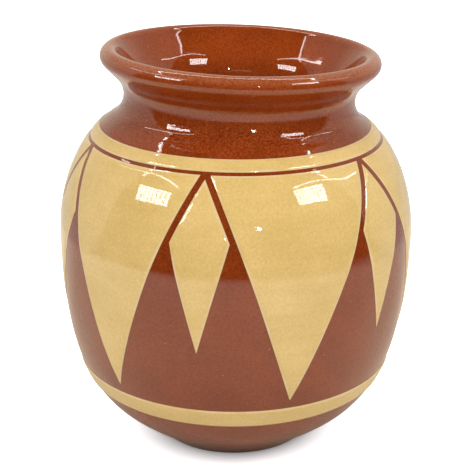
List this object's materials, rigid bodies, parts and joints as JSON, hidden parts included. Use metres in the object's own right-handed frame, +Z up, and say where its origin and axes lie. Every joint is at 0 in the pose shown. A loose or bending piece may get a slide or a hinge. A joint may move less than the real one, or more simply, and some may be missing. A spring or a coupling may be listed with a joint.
{
  "type": "pottery vase",
  "caption": "Round-bellied red earthenware vase with a pinched neck, flared round lip, and cream slip bands, pointed panels and kites cut back to the clay, under clear glaze.",
  "frame": {"origin": "middle of the flat foot, on the surface that the vase stands on", "axes": "+Z up the vase, -Y towards the viewer of the picture, +X to that viewer's right, which is the side that the rim leans to"},
  "size_m": [0.1128, 0.1126, 0.1285],
  "materials": {
    "red_clay": "red-brown earthenware under a clear, shiny glaze",
    "cream_slip": "warm cream slip with faint mottling under the same clear glaze"
  },
  "bodies": {
    "root": {"clay_body": "red_clay", "slip_shoulder_band": "cream_slip", "slip_foot_band": "cream_slip", "slip_panel_1": "cream_slip", "slip_panel_2": "cream_slip", "slip_panel_3": "cream_slip", "slip_panel_4": "cream_slip", "slip_panel_5": "cream_slip", "slip_panel_6": "cream_slip", "slip_kite_1": "cream_slip", "slip_kite_2": "cream_slip", "slip_kite_3": "cream_slip", "slip_kite_4": "cream_slip", "slip_kite_5": "cream_slip", "slip_kite_6": "cream_slip"}
  },
  "joints": []
}
